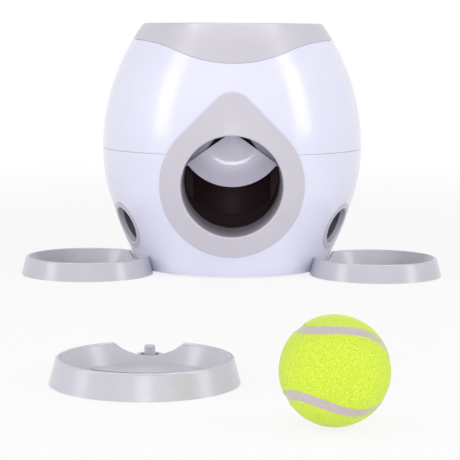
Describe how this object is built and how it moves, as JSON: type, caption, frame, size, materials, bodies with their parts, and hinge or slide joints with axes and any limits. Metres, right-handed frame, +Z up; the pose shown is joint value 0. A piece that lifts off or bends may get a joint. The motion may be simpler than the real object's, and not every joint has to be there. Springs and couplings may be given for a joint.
{
  "type": "dog ball launcher",
  "caption": "Barrel-shaped dog toy: a dropped tennis ball rolls out under a flap whose shaft turns a feed wheel, so treats fall to round trays round the foot.",
  "frame": {"origin": "on the body's vertical axis at floor level", "axes": "+Z up, -Y out of the ball hole, +X to the right as seen from in front"},
  "size_m": [0.3954, 0.8475, 0.235],
  "materials": {
    "white_shell": "glossy white moulding",
    "grey_trim": "satin light grey moulding",
    "grey_tray": "satin light grey moulding",
    "smoke_flap": "glossy smoke-grey moulding, slightly see-through",
    "dark_chute": "glossy brown-black moulding",
    "inner_white": "plain moulding, unseen inside",
    "drive_plastic": "dark low-friction moulding",
    "steel": "drawn steel",
    "zinc_screw": "zinc-plated steel",
    "foot_rubber": "matt rubber",
    "tennis_felt": "woven nylon and wool felt",
    "core_rubber": "moulded rubber"
  },
  "bodies": {
    "housing": {"lower_shell": "white_shell", "upper_shell": "white_shell", "top_collar": "grey_trim", "front_bezel": "grey_trim", "ball_chute": "dark_chute", "flap_carrier": "grey_trim", "carrier_screws": "zinc_screw", "flap_bushes": "drive_plastic", "flap_spring": "steel", "outlet_deck": "inner_white", "treat_hopper": "inner_white", "hopper_screws": "zinc_screw", "outlet_ring_left": "grey_trim", "outlet_ring_right": "grey_trim", "outlet_ring_rear": "grey_trim", "treat_chute_left": "inner_white", "treat_chute_right": "inner_white", "treat_chute_rear": "inner_white", "base_plate": "inner_white", "foot_pads": "foot_rubber", "base_screws": "zinc_screw"},
    "bowl": {"ball_funnel": "grey_trim"},
    "flap": {"ball_flap": "smoke_flap", "flap_shaft": "steel", "index_arm": "drive_plastic", "shaft_clip": "steel"},
    "wheel": {"feed_wheel": "drive_plastic", "ratchet_ring": "drive_plastic"},
    "left_tray": {"tray_left": "grey_tray"},
    "right_tray": {"tray_right": "grey_tray"},
    "loose_tray": {"tray_loose": "grey_tray"},
    "ball": {"ball_felt": "tennis_felt", "ball_core": "core_rubber"}
  },
  "joints": [
    {"name": "flap_swing", "type": "hinge", "parent": "housing", "child": "flap", "pos_m": [0, -0.056, 0.1335], "axis": [-1, 0, 0], "range_deg": [0, 62], "stiffness_Nm_per_rad": 0.004, "springref_deg": -11.46},
    {"name": "wheel_index", "type": "hinge", "parent": "housing", "child": "wheel", "pos_m": [0, 0, 0.155], "axis": [0, 0, 1], "range_deg": [0, 22.5]},
    {"name": "bowl_lift", "type": "slide", "parent": "housing", "child": "bowl", "axis": [0, 0, 1], "range_m": [0, 0.06]},
    {"name": "left_tray_unplug", "type": "slide", "parent": "housing", "child": "left_tray", "axis": [0, 0, -1], "range_m": [0, 0.014]},
    {"name": "right_tray_unplug", "type": "slide", "parent": "housing", "child": "right_tray", "axis": [0, 0, -1], "range_m": [0, 0.014]},
    {"name": "loose_tray_lift", "type": "slide", "parent": "housing", "child": "loose_tray", "axis": [0, 0, 1], "range_m": [0, 0.1]},
    {"name": "ball_lift", "type": "slide", "parent": "housing", "child": "ball", "axis": [0, 0, 1], "range_m": [0, 0.1]}
  ],
  "couplings": [
    {"joint": "wheel_index", "follows": "flap_swing", "ratio": 0.3629}
  ]
}
